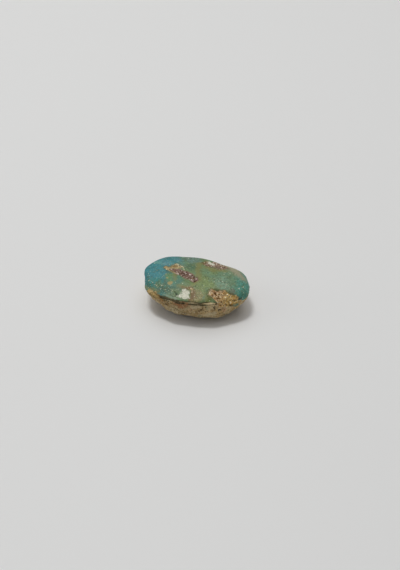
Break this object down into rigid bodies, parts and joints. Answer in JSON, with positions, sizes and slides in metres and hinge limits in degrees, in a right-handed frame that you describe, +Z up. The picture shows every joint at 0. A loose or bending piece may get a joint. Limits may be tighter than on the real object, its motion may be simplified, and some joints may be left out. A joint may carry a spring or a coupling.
{
  "type": "raw turquoise nugget",
  "caption": "Small raw turquoise nugget with a ground, gently domed blue-green face and a rough brown host-rock back that tapers to a worn flat to rest on.",
  "frame": {"origin": "middle of the plan, on the surface the stone rests on", "axes": "+X along the stone's length, toward its blunt end; +Z up, out of the ground face; -Y is the side with the ochre pocket"},
  "size_m": [0.025, 0.0158, 0.0078],
  "materials": {
    "turquoise": "satin"
  },
  "bodies": {
    "root": {"turquoise_nugget": "turquoise"}
  },
  "joints": []
}
